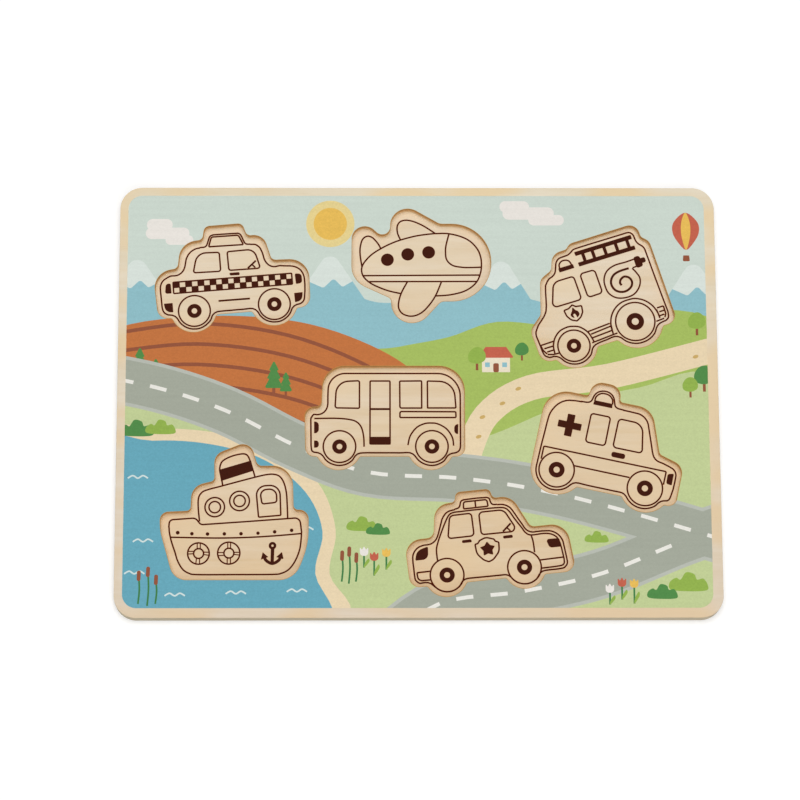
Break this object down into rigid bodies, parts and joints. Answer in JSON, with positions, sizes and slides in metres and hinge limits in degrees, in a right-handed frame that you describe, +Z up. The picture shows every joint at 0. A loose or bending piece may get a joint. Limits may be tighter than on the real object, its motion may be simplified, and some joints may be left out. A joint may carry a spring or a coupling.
{
  "type": "peg puzzle",
  "caption": "Flat wooden puzzle board with vehicle-shaped recesses in a printed face, and loose wooden vehicles with round pegs that fit them.",
  "frame": {"origin": "middle of the board's underside, on the surface that the board and the vehicles lie on", "axes": "+X to the board's right as its picture is seen, +Y to its far edge (the top of the picture), +Z up out of the printed face"},
  "size_m": [0.6048, 0.2807, 0.0215],
  "materials": {
    "base_wood": "bare sanded plywood with burnt line drawings",
    "printed_wood": "plywood, printed face, bare border and browned cut edges",
    "vehicle_wood": "bare sanded plywood with browned cut edges",
    "peg_wood": "turned wood, smooth"
  },
  "bodies": {
    "board": {"base_panel": "base_wood", "top_panel": "printed_wood"},
    "taxi_piece": {"taxi": "vehicle_wood", "taxi_peg": "peg_wood"},
    "plane_piece": {"plane": "vehicle_wood", "plane_peg": "peg_wood"},
    "fire_engine_piece": {"fire_engine": "vehicle_wood", "fire_engine_peg": "peg_wood"},
    "bus_piece": {"bus": "vehicle_wood", "bus_peg": "peg_wood"},
    "ambulance_piece": {"ambulance": "vehicle_wood", "ambulance_peg": "peg_wood"},
    "boat_piece": {"boat": "vehicle_wood", "boat_peg": "peg_wood"},
    "police_car_piece": {"police_car": "vehicle_wood", "police_car_peg": "peg_wood"}
  },
  "joints": [
    {"name": "taxi_carry", "type": "slide", "parent": "board", "child": "taxi_piece", "axis": [0.973, 0.0014, 0.231], "range_m": [0, 0.17317]},
    {"name": "plane_carry", "type": "slide", "parent": "board", "child": "plane_piece", "axis": [-0.9753, -0.1624, 0.15], "range_m": [0, 0.26671]},
    {"name": "fire_engine_carry", "type": "slide", "parent": "board", "child": "fire_engine_piece", "axis": [-0.9717, 0.0728, 0.2248], "range_m": [0, 0.17794]},
    {"name": "bus_carry", "type": "slide", "parent": "board", "child": "bus_piece", "axis": [0.9857, -0.0512, 0.1607], "range_m": [0, 0.24886]},
    {"name": "ambulance_carry", "type": "slide", "parent": "board", "child": "ambulance_piece", "axis": [-0.9664, 0.1091, 0.2327], "range_m": [0, 0.17186]},
    {"name": "boat_carry", "type": "slide", "parent": "board", "child": "boat_piece", "axis": [0.9736, 0.0155, 0.2279], "range_m": [0, 0.17553]},
    {"name": "police_car_carry", "type": "slide", "parent": "board", "child": "police_car_piece", "axis": [-0.9703, 0.1721, 0.1703], "range_m": [0, 0.23488]}
  ]
}
